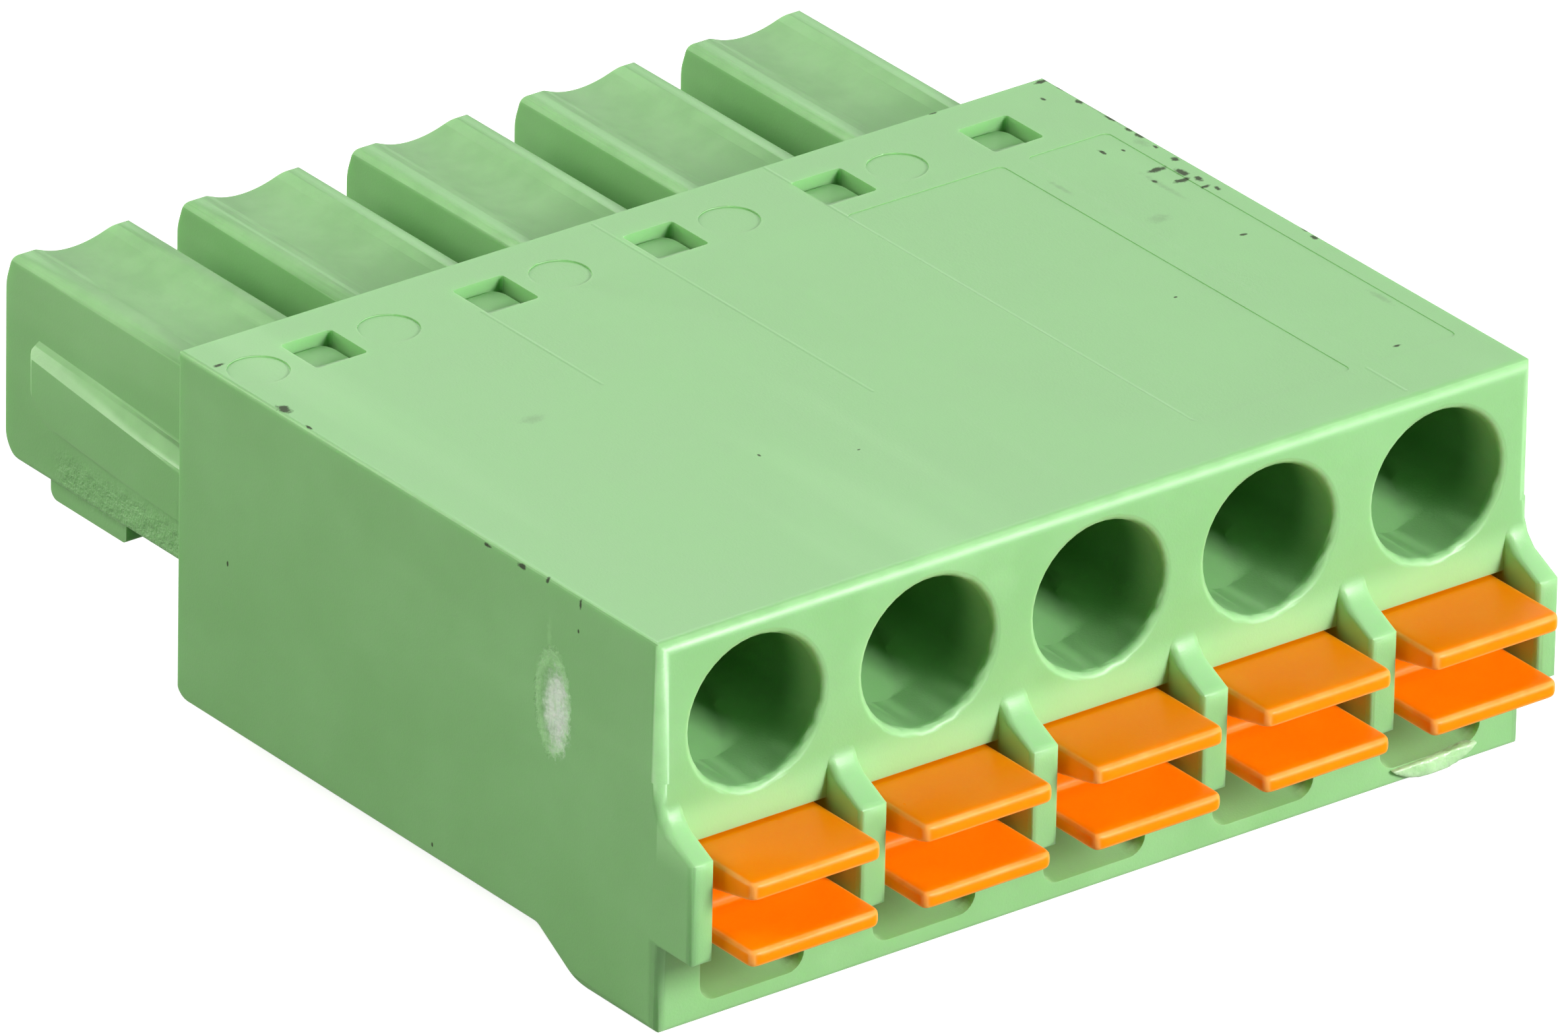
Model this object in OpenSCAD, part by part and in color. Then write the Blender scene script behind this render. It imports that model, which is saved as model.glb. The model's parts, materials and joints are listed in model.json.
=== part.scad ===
// Pluggable terminal block: spring clamps for wires at the front, a row of
// socket fingers at the back. X runs along the row, Y from the wire side to
// the plug side, Z up. The origin is the bottom centre of the block's box.

/* [Row of poles] */
// Number of poles
poles = 5; // [2:1:12]
// Distance between neighbouring poles
pitch = 3.81; // [3.6:0.01:5.08]
// Wall between two neighbouring lever slots
divider_t = 0.66; // [0.5:0.01:0.9]
// Outer side wall of the housing
side_wall = 0.555; // [0.4:0.005:1]

/* [Housing] */
// Length from the wire face to the back face
body_l = 14.25; // [13.6:0.01:18]
// Height of the foot's sole below the lever slots
sole_t = 1.81; // [1.7:0.01:2.4]
// Depth of the foot below the underside
foot_h = 0.79; // [0.4:0.01:1.2]
// Length of the foot's flat sole
foot_l = 2.12; // [1.6:0.01:3]
// Slope of the foot's back
foot_slope = 30.7; // [20:0.1:60]
// Thickness of the top wall
top_wall = 0.55; // [0.42:0.01:0.8]
// Thickness of the bottom wall
floor_wall = 0.6; // [0.4:0.01:0.8]
// Depth of the solid front behind the wire face
front_wall = 3.4; // [2.8:0.01:4]
// Rounding of the front edges
front_r = 0.25; // [0.05:0.01:0.4]
// Rounding of the lower back edge
back_r = 0.35; // [0.05:0.01:0.5]
// Rounding of the long top edges
side_r = 0.1; // [0.05:0.01:0.2]
// Rounding of the foot's lower corners
foot_r = 0.2; // [0.05:0.01:0.35]
// Outline marks sunk into the top face
mark_depth = 0.03; // [0.01:0.01:0.1]

/* [Wire entries] */
// Radius of a wire entry
bore_r = 1.44; // [1.1:0.01:1.46]
// Rounding of its rim
rim_r = 0.16; // [0.05:0.01:0.2]
// Its axis below the top face
bore_drop = 1.89; // [1.7:0.01:2.1]
// Where the guide ramp on its floor begins
ramp_start = 1.27; // [0.5:0.01:2]
// Slope of the guide ramp
ramp_slope = 16.5; // [5:0.1:25]
// How much narrower its inner end is
guide_taper = 0.08; // [0.02:0.01:0.2]

/* [Ears] */
// How far the ears stand out of the wire face
ear_reach = 1; // [0.6:0.01:1.4]
// Thickness of an ear's front edge
ear_front_t = 0.62; // [0.4:0.01:0.65]
// Start of their shoulders below the top face
ear_drop = 3.44; // [3.2:0.01:3.6]
// Slope of their shoulders
ear_slope = 25.6; // [15:0.1:35]
// Their bottom below the lever slot's floor
ear_lip = 0.09; // [0:0.01:0.2]
// Fillet between their shoulders and the wire face
ear_blend = 0.7; // [0.3:0.01:0.85]
// Rounding of their edges
ear_r = 0.16; // [0.05:0.01:0.2]
// Rounding of the outer ears' outer edges
outer_ear_r = 0.2; // [0.05:0.01:0.3]

/* [Release levers] */
// Lever's top below the top face
lever_drop = 4.1; // [3.95:0.01:4.3]
// Height of a lever
lever_h = 1.68; // [1.5:0.01:2]
// Gap between a lever and each side of its slot
lever_side_gap = 0.125; // [0.05:0.005:0.2]
// Gap above and below a lever
lever_gap = 0.06; // [0.03:0.01:0.1]
// How far its blades stand out beyond the ears
blade_reach = 0.85; // [0.5:0.01:1.5]
// Upper blade's thickness at its tip
upper_blade_t = 0.35; // [0.25:0.01:0.45]
// Upper blade's thickness at its root
upper_root_t = 0.72; // [0.5:0.01:0.8]
// Lower blade's thickness
lower_blade_t = 0.35; // [0.25:0.01:0.5]
// Web between the blades, in front of the wire face
web_reach = 0.02; // [0:0.01:0.4]
// Rounding of the blade tips
blade_r = 0.13; // [0.03:0.01:0.15]
// Rounding of the blades' corners, seen from above
blade_corner = 0.2; // [0.05:0.01:0.4]
// Rounding of the blades' long edges
blade_edge = 0.1; // [0.03:0.01:0.15]
// Length of the retaining hook
hook_l = 0.9; // [0.6:0.01:1.2]
// Gap between the hook and the housing's floor
hook_gap = 0.08; // [0.04:0.01:0.15]
// Play of the hook behind the solid front
stop_gap = 0.03; // [0.02:0.01:0.1]
// Travel of a pressed lever
travel = 1; // [0.6:0.01:1.2]
// Height of the pusher at its back
pusher_h = 0.58; // [0.4:0.01:0.65]
// Gap between the pusher and the spring's loop below it
pusher_gap = 0.1; // [0.05:0.01:0.2]
// Scoop's lower edge above the sole
scoop_rise = 0.35; // [0.2:0.01:0.5]
// Width of the scoop below a lever
scoop_w = 2.3; // [1.6:0.01:2.6]
// Slope of the scoop's floor
scoop_slope = 12; // [5:0.5:20]
// Rounding of the scoop's lower corners
scoop_r = 0.35; // [0.1:0.01:0.5]
// Wall between the scoop and the clamping chamber
scoop_wall = 0.6; // [0.4:0.01:1]

/* [Clamp springs] */
// Thickness of the spring strip
spring_t = 0.22; // [0.15:0.01:0.25]
// Width of the spring strip
spring_w = 1.7; // [1.2:0.01:2.2]
// Loop's centre in front of the nose
loop_back = 3.6; // [3:0.01:4]
// Gap between a pressed lever's heel and the loop
loop_gap = 0.2; // [0.1:0.01:0.6]
// Lean of the clamping leg
leg_lean = 26; // [20:0.5:30]
// Gap between a spring and what it bears on
spring_gap = 0.04; // [0.02:0.01:0.1]
// Height of the leg that stands before the nose
back_leg_h = 3.2; // [2:0.01:4]

/* [Contacts] */
// Thickness of the contact strip
contact_t = 0.35; // [0.25:0.01:0.4]
// Width of the contact strip
contact_w = 1.7; // [1.2:0.01:1.8]
// Bar's start behind the solid front
bar_start = 0.6; // [0.3:0.01:1]
// Length of the yoke that joins the two pin arms
yoke_l = 1.6; // [1:0.01:2.2]
// Opening between the two pin arms
pin_gap = 0.6; // [0.4:0.01:0.8]
// Gap between a contact and what holds it
contact_gap = 0.03; // [0.02:0.01:0.08]

/* [Plug nose] */
// Length of the fingers behind the housing
nose_l = 6.37; // [6:0.01:9]
// Width of a finger
finger_w = 2.62; // [2.4:0.01:2.9]
// Height of a finger
finger_h = 4.12; // [3.8:0.01:4.6]
// Finger's top below the housing's top face
finger_drop = 0.78; // [0.6:0.01:1]
// Pin axis below the housing's top face
pin_drop = 2.85; // [2.75:0.01:3]
// Side of the square pin opening
pin_hole = 1.2; // [1:0.01:1.4]
// Wall at the fingers' tips
tip_wall = 0.6; // [0.4:0.01:1]
// Depth of the nose inside the housing
base_l = 2.71; // [2.4:0.01:3]
// Fit gap between the nose and the housing
nose_gap = 0.04; // [0.02:0.01:0.08]
// Height of the contact cavity
cavity_h = 2.1; // [1.9:0.01:2.3]
// Gap beside a contact in its cavity
cavity_gap = 0.1; // [0.05:0.01:0.15]
// Depth of the valley along each finger's top
valley_depth = 0.48; // [0.2:0.01:0.6]
// How far the outer pads stand proud
pad_t = 0.25; // [0.1:0.01:0.26]
// Height of the outer pads
pad_h = 1.38; // [0.8:0.01:1.8]
// Their top below the fingers' top, at the housing
pad_drop = 1.8; // [1.5:0.01:2]
// Their rise towards the fingers' tips
pad_rise = 0.32; // [0:0.01:0.5]
// Height of the slope along their upper edge
pad_bevel = 0.36; // [0.1:0.01:0.5]
// Height of the keying ribs
rib_h = 0.55; // [0.3:0.01:0.8]
// Length of the keying ribs
rib_l = 2.32; // [1.5:0.01:3]
// Ribs' inset from the fingers' sides
rib_inset = 0.3; // [0.1:0.01:0.5]
// Ribs' distance from the fingers' tips
rib_back = 0.98; // [0.6:0.01:1.5]

/* [Latches] */
// Width of a latch window
window_w = 1.13; // [1:0.01:1.4]
// Length of a latch window
window_l = 1.13; // [0.9:0.01:1.3]
// Window's distance from the back face
window_back = 0.87; // [0.6:0.01:1]
// Window's offset from the middle of its pole
window_x = 0.03; // [0:0.01:0.1]
// Width of a latch
latch_w = 0.9; // [0.6:0.01:0.95]
// Latch's top below the housing's top face
latch_drop = 0.2; // [0.1:0.01:0.3]
// Gap around a latch in its window
latch_gap = 0.05; // [0.03:0.01:0.1]
// Radius of an ejector pin's ring beside a window
ring_r = 0.575; // [0.4:0.005:0.7]

/* [Label panels] */
// Depth of the panels
panel_depth = 0.015; // [0.01:0.005:0.1]
// Start of the panels behind the wire face
panel_start = 1.57; // [1:0.01:3]
// Their end in front of the latch windows
panel_end = 0.5; // [0.2:0.01:2]
// Distance of the outer panel from the side face
panel_inset = 0.49; // [0.3:0.01:1]
// Width of the outer panel
outer_panel_w = 1.87; // [1:0.01:2.5]
// Gap between the panels
panel_gap = 0.54; // [0.2:0.01:1]
// Width of the inner panel
inner_panel_w = 3.58; // [2:0.01:4]

/* [Hidden] */

arc_steps = 6; // straight pieces in a small rounded corner
over = 0.2; // how far a cut runs past a face
green = [0.56, 0.78, 0.53];
orange = [1, 0.5, 0.05];
steel = [0.78, 0.79, 0.8];
tin = [0.72, 0.7, 0.66];

// Heights
top_z = sole_t + lever_gap + lever_h + lever_drop;
bore_z = top_z - bore_drop;
ceiling_z = top_z - top_wall;
floor_z = foot_h + floor_wall;
lever_top = top_z - lever_drop;
lever_z = lever_top - lever_h;
slot_top = lever_top + lever_gap;
slot_z = lever_z - lever_gap;
hook_z = floor_z + hook_gap;
ear_z = slot_z - ear_lip;
pin_z = top_z - pin_drop;
finger_top = top_z - finger_drop;
finger_z = finger_top - finger_h;

// Widths
slot_w = pitch - divider_t;
body_w = poles * pitch - divider_t + 2 * side_wall;
lever_w = slot_w - 2 * lever_side_gap;
cavity_w = contact_w + 2 * cavity_gap;

// Places along Y
tip_y = body_l + nose_l;
blade_y = -(ear_reach + blade_reach);
mid_y = (tip_y + blade_y) / 2;
hook_y = front_wall + stop_gap;
base_y = body_l - base_l;
pusher_z = lever_top - pusher_h;
loop_r = (pusher_z - pusher_gap - floor_z - spring_gap - spring_t) / 2;
loop_y = base_y - loop_back;
loop_z = floor_z + spring_gap + spring_t / 2 + loop_r;
heel_y = loop_y - loop_r - spring_t / 2 - loop_gap - travel;
bar_z = ceiling_z - contact_gap - contact_t / 2;
window_y = body_l - window_back - window_l;

// Centre of pole i, counted from 1
function pole_x(i) = (i - (poles + 1) / 2) * pitch;

function xy(p) = [p[0], p[1]];
function unit(v) = v / norm(v);
function left_of(v) = [-v[1], v[0]];

// Straight pieces in a corner of radius r
function steps(r) = r > 0.5 ? 3 * arc_steps : arc_steps;

// The corner at p between a and b, rounded to the radius in p[2]
function corner(a, p, b) =
    p[2] <= 0 ? [xy(p)]
    : let (u = unit(xy(a) - xy(p)), v = unit(xy(b) - xy(p)), half = acos(u * v) / 2,
           centre = xy(p) + unit(u + v) * p[2] / sin(half),
           start = xy(p) + u * p[2] / tan(half) - centre,
           turn = (u[0] * v[1] - u[1] * v[0] > 0 ? -1 : 1) * (180 - 2 * half),
           first = atan2(start[1], start[0]), n = steps(p[2]))
      [for (k = [0:n]) centre + p[2] * [cos(first + turn * k / n), sin(first + turn * k / n)]];

// A closed outline from corners [x, y, radius]
function outline(c) = [for (i = [0:len(c) - 1])
    each corner(c[(i + len(c) - 1) % len(c)], c[i], c[(i + 1) % len(c)])];

// An open path from corners [x, y, radius]
function path(c) = [for (i = [0:len(c) - 1])
    each i == 0 || i == len(c) - 1 ? [xy(c[i])] : corner(c[i - 1], c[i], c[i + 1])];

// The sideways step at point i of path p, longer where the path bends
function side_step(p, i) =
    let (a = unit(i > 0 ? p[i] - p[i - 1] : p[1] - p[0]),
         b = i < len(p) - 1 ? unit(p[i + 1] - p[i]) : a,
         n = unit(left_of(a) + left_of(b)))
    n / (n * left_of(a));

// The outline of a bent strip of thickness t along path p
function strip(p, t) = concat([for (i = [0:len(p) - 1]) p[i] + side_step(p, i) * t / 2],
                              [for (i = [len(p) - 1:-1:0]) p[i] - side_step(p, i) * t / 2]);

// Places a piece in the block's own frame
module in_frame() {
    translate([0, -mid_y, 0]) children();
}

// Extrudes a Y-Z outline to a width centred on X = 0
module across(w) {
    rotate([90, 0, 90]) translate([0, 0, -w / 2]) linear_extrude(w) children();
}

// Extrudes an X-Z outline from y0 to y1
module along(y0, y1) {
    translate([0, y1, 0]) rotate([90, 0, 0]) linear_extrude(y1 - y0) children();
}

// Extrudes an X-Y outline from z0 to z1
module upright(z0, z1) {
    translate([0, 0, z0]) linear_extrude(z1 - z0) children();
}

// A box that is centred on X = x
module block(x, w, y, z) {
    translate([x - w / 2, y[0], z[0]]) cube([w, y[1] - y[0], z[1] - z[0]]);
}

// ---- Housing ----

// Side view of the body with its foot
body_outline = outline([
    [0, top_z, front_r], [body_l, top_z, 0.06], [body_l, foot_h, back_r],
    [foot_l + foot_h / tan(foot_slope), foot_h, 0.3], [foot_l, 0, 2], [0, 0, 0.1]]);

// Side view of an ear: a fillet, a sloping shoulder, a plumb nose and a flat bottom
ear_root = 0.6; // how far it reaches into the body
ear_top = top_z - ear_drop;
ear_outline = outline([
    [ear_root, ear_top + ear_blend, 0], [0, ear_top + ear_blend, 0], [0, ear_top, ear_blend],
    [-ear_reach, ear_top - ear_reach * tan(ear_slope), 0.25], [-ear_reach, ear_z, 0.15],
    [ear_root, ear_z, 0]]);

// Plan of an ear, drafted towards its front edge
function ear_plan(root_t, front_t, r) = outline([
    [-root_t / 2, ear_root, 0], [-root_t / 2, 0, 0], [-front_t / 2, -ear_reach, r],
    [front_t / 2, -ear_reach, ear_r], [root_t / 2, 0, 0], [root_t / 2, ear_root, 0]]);

// A bar whose rounded upper edges touch the shoulder and the fillet's arc, in turn
module ear_bars(t, r) {
    fillet_z = ear_top + ear_blend * tan((90 - ear_slope) / 2);
    for (turn = [ear_slope:(90 - ear_slope) / 3:90])
        translate([0, ear_blend * (sin(turn) - 1), fillet_z - ear_blend * cos(turn)])
            rotate([turn, 0, 0]) along(-top_z, top_z) polygon(outline([
                [-t / 2, -top_z, 0], [t / 2, -top_z, 0], [t / 2, 0, ear_r], [-t / 2, 0, r]]));
}

// An ear with all its edges rounded, those on its left side to the radius r
module ear(x, t, r = ear_r) {
    translate([x, 0, 0]) intersection() {
        across(t + over) polygon(ear_outline);
        upright(0, top_z) polygon(ear_plan(t, t + ear_front_t - divider_t, r));
        along(-ear_reach - over, ear_root) polygon(outline([
            [-t / 2, ear_z, ear_r], [t / 2, ear_z, ear_r], [t / 2, top_z, 0], [-t / 2, top_z, 0]]));
        ear_bars(t, r);
    }
}

module body_blank() {
    intersection() {
        across(body_w) polygon(body_outline);
        upright(-over, top_z + over) polygon(outline([
            [-body_w / 2, body_l, 0.08], [-body_w / 2, 0, front_r],
            [body_w / 2, 0, front_r], [body_w / 2, body_l, 0.08]]));
        along(-over, body_l + over) polygon(outline([
            [-body_w / 2, 0, foot_r], [body_w / 2, 0, foot_r],
            [body_w / 2, top_z, side_r], [-body_w / 2, top_z, side_r]]));
    }
}

// The wire entry's round rim, bore, and tapered guide with a ramp on its floor
module wire_entry_cut() {
    guide_l = front_wall + over - ramp_start;
    translate([0, 0, bore_z]) {
        rotate([-90, 0, 0]) cylinder(r = bore_r, h = ramp_start, $fn = 64);
        difference() {
            translate([0, ramp_start, 0]) rotate([-90, 0, 0])
                cylinder(r1 = bore_r, r2 = bore_r - guide_taper, h = guide_l, $fn = 64);
            across(2 * bore_r) polygon([
                [ramp_start, -bore_r], [front_wall + 2 * over, -bore_r],
                [front_wall + 2 * over, -bore_r + (guide_l + over) * tan(ramp_slope)]]);
        }
        rotate([90, 0, 0]) rotate_extrude($fn = 64) polygon(concat(
            [[0, -rim_r], [0, over], [bore_r + rim_r, over]],
            [for (k = [0:arc_steps]) [bore_r + rim_r - rim_r * sin(90 * k / arc_steps),
                                      -rim_r + rim_r * cos(90 * k / arc_steps)]]));
    }
}

// The U-shaped scoop in the foot below a lever, open to the slot above it
module scoop_cut() {
    intersection() {
        translate([0, 0, scoop_rise]) rotate([scoop_slope, 0, 0]) along(-2, front_wall)
            polygon(outline([
                [-scoop_w / 2, 0, scoop_r], [scoop_w / 2, 0, scoop_r],
                [scoop_w / 2, slot_z + over, 0], [-scoop_w / 2, slot_z + over, 0]]));
        block(0, scoop_w, [-over, front_wall - scoop_wall], [0, slot_z + over]);
    }
}

// All that is cut away for one pole
module pole_cuts() {
    wire_entry_cut();
    scoop_cut();
    block(0, slot_w, [0, front_wall + over], [slot_z, slot_top]);
    block(0, slot_w, [front_wall, base_y], [floor_z, ceiling_z]);
    upright(ceiling_z - over, top_z + over) polygon(outline([
        for (c = [[-1, 0], [1, 0], [1, 1], [-1, 1]])
            [window_x + c[0] * window_w / 2, window_y + c[1] * window_l, 0.08]]));
}

// Flat rings left by the ejector pins, one to the left of each window
module pin_marks() {
    for (i = [1:poles])
        translate([i == 1 ? 1.25 * ring_r - body_w / 2 : pole_x(i) - pitch / 2 - 0.75 * ring_r,
                   window_y + window_l / 2, top_z - mark_depth])
            cylinder(r = ring_r, h = over, $fn = 48);
}

// The two shallow panels for labels, side by side along the right edge
module label_panels() {
    outer_x = body_w / 2 - panel_inset - outer_panel_w;
    for (p = [[outer_x, outer_panel_w], [outer_x - panel_gap - inner_panel_w, inner_panel_w]])
        upright(top_z - panel_depth, top_z + over) polygon(outline([
            [p[0], panel_start, 0.15], [p[0] + p[1], panel_start, 0.15],
            [p[0] + p[1], window_y - panel_end, 0.15], [p[0], window_y - panel_end, 0.15]]));
}

module housing() {
    color(green) in_frame() difference() {
        union() {
            body_blank();
            for (i = [1:poles - 1]) ear(pole_x(i) + pitch / 2, divider_t);
            for (s = [0, 1]) mirror([s, 0, 0]) ear((side_wall - body_w) / 2, side_wall, outer_ear_r);
        }
        for (i = [1:poles]) translate([pole_x(i), 0, 0]) pole_cuts();
        block(0, body_w - 2 * side_wall, [base_y - nose_gap, body_l + over], [floor_z, ceiling_z]);
        pin_marks();
        label_panels();
    }
}

// ---- Plug nose ----

// End view of a finger: two lips with a round valley between them
finger_outline = outline([
    [-finger_w / 2, finger_z, 0.12], [-finger_w / 2, finger_top, 0.22],
    [-0.35 * finger_w, finger_top, 0.6], [0.03 * finger_w, finger_top - valley_depth, 1.6],
    [0.39 * finger_w, finger_top, 0.3], [finger_w / 2, finger_top, 0.18],
    [finger_w / 2, finger_z, 0.12]]);

// Side view of a finger, its tip leaning back at the top
finger_side = outline([
    [body_l - over, finger_z, 0], [tip_y, finger_z, 0.55], [tip_y, finger_top - 0.6, 1],
    [tip_y - 0.2, finger_top, 0.2], [body_l - over, finger_top, 0]]);

module finger() {
    intersection() {
        along(body_l - over, tip_y) polygon(finger_outline);
        across(finger_w) polygon(finger_side);
    }
    across(finger_w - 2 * rib_inset) polygon(outline([
        [tip_y - rib_back - rib_l, finger_z + over, 0], [tip_y - rib_back - rib_l, finger_z - rib_h, 0.1],
        [tip_y - rib_back, finger_z - rib_h, 0.2], [tip_y - rib_back, finger_z + over, 0]]));
}

// The latch that snaps into a window: a sloping front and a steep back
module latch() {
    latch_x = window_x - window_w / 2 + latch_gap + latch_w / 2;
    translate([latch_x, 0, 0]) intersection() {
        across(latch_w) polygon(outline([
            [window_y + latch_gap, ceiling_z - over, 0],
            [window_y + latch_gap, ceiling_z + 0.15, 0.05],
            [window_y + latch_gap + 0.25, top_z - latch_drop, 0.2],
            [window_y + window_l - latch_gap, top_z - latch_drop, 0.08],
            [window_y + window_l - latch_gap, ceiling_z - over, 0]]));
        upright(0, top_z) polygon(outline([
            [-latch_w / 2, window_y, 0.1], [latch_w / 2, window_y, 0.15],
            [latch_w / 2, window_y + window_l, 0.4], [-latch_w / 2, window_y + window_l, 0.1]]));
    }
}

// The cavity for one contact and the funnel for the pin
module cavity_cut() {
    funnel = 0.3;
    mouth = pin_hole / 2 + funnel;
    block(0, cavity_w, [base_y - over, tip_y - tip_wall], [pin_z - cavity_h / 2, pin_z + cavity_h / 2]);
    translate([0, 0, pin_z]) {
        block(0, pin_hole, [tip_y - tip_wall - over, tip_y + over], [-pin_hole / 2, pin_hole / 2]);
        intersection() {
            across(2 * mouth) polygon([
                [tip_y - funnel, -pin_hole / 2], [tip_y, -mouth], [tip_y, mouth], [tip_y - funnel, pin_hole / 2]]);
            upright(-mouth, mouth) polygon([
                [-pin_hole / 2, tip_y - funnel], [-mouth, tip_y], [mouth, tip_y], [pin_hole / 2, tip_y - funnel]]);
        }
    }
}

// The pad on the outer side of an end finger: drafted and rising towards the tip
module side_pad() {
    side_x = pole_x(poles) + finger_w / 2;
    pad_y = tip_y - 0.9;
    pad_z = finger_top - pad_drop;
    intersection() {
        upright(finger_z, finger_top) polygon(outline([
            [side_x - over, body_l - over, 0], [side_x + pad_t, body_l - over, 0],
            [side_x + pad_t, body_l + 0.8, 1], [side_x + 0.7 * pad_t, pad_y, 0.6 * pad_t],
            [side_x - over, pad_y, 0]]));
        across(2 * body_w) polygon(outline([
            [body_l - over, pad_z + over, 0], [pad_y, pad_z + pad_rise + over, 0.4],
            [pad_y, pad_z + pad_rise - pad_h, 0.9], [body_l - over, pad_z - pad_h, 0]]));
        translate([0, body_l, pad_z]) rotate([atan2(pad_rise, pad_y - body_l), 0, 0])
            along(-nose_l, nose_l) polygon(outline([
                [side_x - over, 2 * over, 0], [side_x, 2 * over, 0], [side_x, 0, 0.25],
                [side_x + pad_t, -pad_bevel, 0.15], [side_x + pad_t, -pad_h, 0.06],
                [side_x - over, -pad_h, 0]]));
    }
}

module plug_nose() {
    color(green) in_frame() difference() {
        union() {
            block(0, body_w - 2 * side_wall - 2 * nose_gap, [base_y, body_l],
                  [floor_z + nose_gap, ceiling_z - nose_gap]);
            for (i = [1:poles]) translate([pole_x(i), 0, 0]) {
                finger();
                latch();
            }
            side_pad();
            mirror([1, 0, 0]) side_pad();
        }
        for (i = [1:poles]) translate([pole_x(i), 0, 0]) cavity_cut();
    }
}

// ---- Release lever ----

// Side view: two blades, the web between them, the body and its hook
lever_outline = outline([
    [blade_y, lever_top, blade_r], [heel_y, lever_top, 0], [heel_y, lever_z, 0.1],
    [hook_y + hook_l, lever_z, 0], [hook_y + hook_l, hook_z, 0.1], [hook_y, hook_z, 0.05],
    [hook_y, lever_z, 0],
    [blade_y, lever_z, 0.08], [blade_y, lever_z + lower_blade_t, blade_r],
    [-web_reach, lever_z + lower_blade_t, 0.1],
    [-web_reach, lever_top - upper_root_t, 0.1],
    [blade_y, lever_top - upper_blade_t, 0.08]]);

// Front surface of the clamping leg at height z
function leg_front(z) = loop_y - (loop_r + spring_t / 2) / cos(leg_lean) + (z - loop_z) * tan(leg_lean);

pusher_y = leg_front(pusher_z) - spring_gap;

// The lever's section from height z0 to z1, its corners rounded
function rounded_section(z0, z1) = outline([for (c = [[-1, z0], [1, z0], [1, z1], [-1, z1]])
    [c[0] * lever_w / 2, c[1], blade_edge]]);

module release_lever(i) {
    color(orange) in_frame() translate([pole_x(i), 0, 0]) {
        intersection() {
            across(lever_w) polygon(lever_outline);
            upright(0, top_z) polygon(outline([
                [-lever_w / 2, blade_y, blade_corner], [lever_w / 2, blade_y, blade_corner],
                [lever_w / 2, heel_y, 0], [-lever_w / 2, heel_y, 0]]));
            union() {
                along(blade_y, 0) polygon(rounded_section(lever_z, lever_z + lower_blade_t));
                along(blade_y, 0) polygon(rounded_section(lever_z + lower_blade_t, lever_top));
                along(-web_reach, heel_y) polygon(rounded_section(hook_z, lever_top));
            }
        }
        across(spring_w) polygon(outline([
            [heel_y - over, lever_top, 0], [pusher_y, lever_top, pusher_h * 0.4],
            [pusher_y, pusher_z, pusher_h * 0.4], [heel_y - over, pusher_z, 0]]));
    }
}

// ---- Clamp spring ----

// Where the clamping leg leaves the loop, and where it meets the bar
leg_start = [loop_y - loop_r * cos(leg_lean), loop_z + loop_r * sin(leg_lean)];
leg_top = bar_z - contact_t / 2 - spring_gap - spring_t / 2 * sin(leg_lean);
leg_end = [leg_start[0] + (leg_top - leg_start[1]) * tan(leg_lean), leg_top];

// From the back leg along the floor, round the loop and up the clamping leg
spring_path = concat(
    path([[base_y - spring_gap - spring_t / 2, floor_z + back_leg_h, 0],
          [base_y - spring_gap - spring_t / 2, loop_z - loop_r, 0.4],
          [loop_y + 0.01, loop_z - loop_r, 0]]),
    [for (k = [0:12]) let (a = -90 - (90 + leg_lean) * k / 12) [loop_y, loop_z] + loop_r * [cos(a), sin(a)]],
    [leg_end]);

module clamp_spring(i) {
    color(steel) in_frame() translate([pole_x(i), 0, 0]) across(spring_w) polygon(strip(spring_path, spring_t));
}

// ---- Contact ----

arm_z = cavity_h / 2 - contact_gap - contact_t / 2; // arm's middle above the pin axis, at its root
pinch_z = (pin_gap + contact_t) / 2; // and where the arms meet the pin
pinch_y = tip_y - tip_wall - 1.9;
flare_y = tip_y - tip_wall - 0.3;
yoke_y = base_y + 0.4;

// The bar under the ceiling, bent down into the nose, and its upper arm
bar_path = path([
    [front_wall + bar_start, bar_z, 0], [base_y - 1.2, bar_z, 0.3], [base_y - 0.5, pin_z + arm_z, 0.3],
    [base_y + 1, pin_z + arm_z, 1], [pinch_y, pin_z + pinch_z, 0.8], [flare_y, pin_z + pinch_z + 0.35, 0]]);

// The lower arm
arm_path = path([
    [yoke_y, pin_z - arm_z, 0], [base_y + 1, pin_z - arm_z, 1],
    [pinch_y, pin_z - pinch_z, 0.8], [flare_y, pin_z - pinch_z - 0.35, 0]]);

module contact(i) {
    color(tin) in_frame() translate([pole_x(i), 0, 0]) {
        across(contact_w) polygon(strip(bar_path, contact_t));
        across(contact_w) polygon(strip(arm_path, contact_t));
        block((contact_w - contact_t) / 2, contact_t, [yoke_y, yoke_y + yoke_l], [pin_z - arm_z, pin_z + arm_z]);
    }
}

housing();
plug_nose();
for (i = [1:poles]) {
    release_lever(i);
    clamp_spring(i);
    contact(i);
}
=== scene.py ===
# %% [markdown]
# # A pluggable terminal block, dressed for the camera
# The imported model already gives each rigid piece its real size and place. This lesson adds what a
# moulding shop and a year in a parts drawer add: soft edges, satin nylon that glows a little where it is
# thin, insert marks, a gate scar, a torn flash, specks of dirt and scuffs.
# Everything is in metres, and `MM` lets the numbers be read in millimetres.

import json
import math

import bpy
from mathutils import Matrix, Vector

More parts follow.
